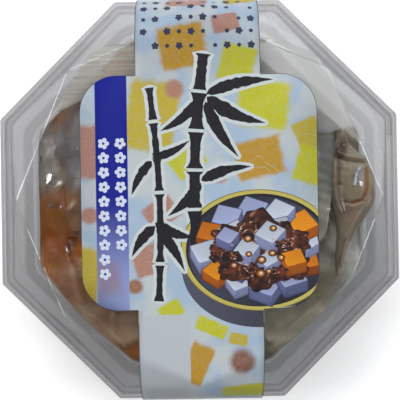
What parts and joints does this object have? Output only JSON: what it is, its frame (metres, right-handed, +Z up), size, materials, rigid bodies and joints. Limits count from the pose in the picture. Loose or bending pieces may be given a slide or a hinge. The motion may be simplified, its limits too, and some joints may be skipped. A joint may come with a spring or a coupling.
{
  "type": "packed agar jelly dessert in a clear octagonal tub",
  "caption": "Shut clear plastic octagonal tub of anmitsu: jelly cubes in a clear pouch, syrup and bean paste sachets, faceted lid and a printed paper band over the top.",
  "frame": {"origin": "middle of the foot that the tub stands on, at the floor", "axes": "+Z up through the lid, +Y along the paper band towards the top of its print, +X to the right of the print"},
  "size_m": [0.1268, 0.128, 0.0507],
  "materials": {
    "tray_plastic": "clear, glossy",
    "lid_plastic": "clear, glossy",
    "printed_paper": "coated paper, satin",
    "pouch": "clear crumpled film over jelly cubes",
    "syrup": "clear film over dark syrup",
    "bean_paste": "clear film over bean paste"
  },
  "bodies": {
    "root": {"tray": "tray_plastic", "lid": "lid_plastic", "paper_band": "printed_paper", "agar_pouch": "pouch", "syrup_sachet": "syrup", "bean_paste_sachet": "bean_paste"}
  },
  "joints": []
}
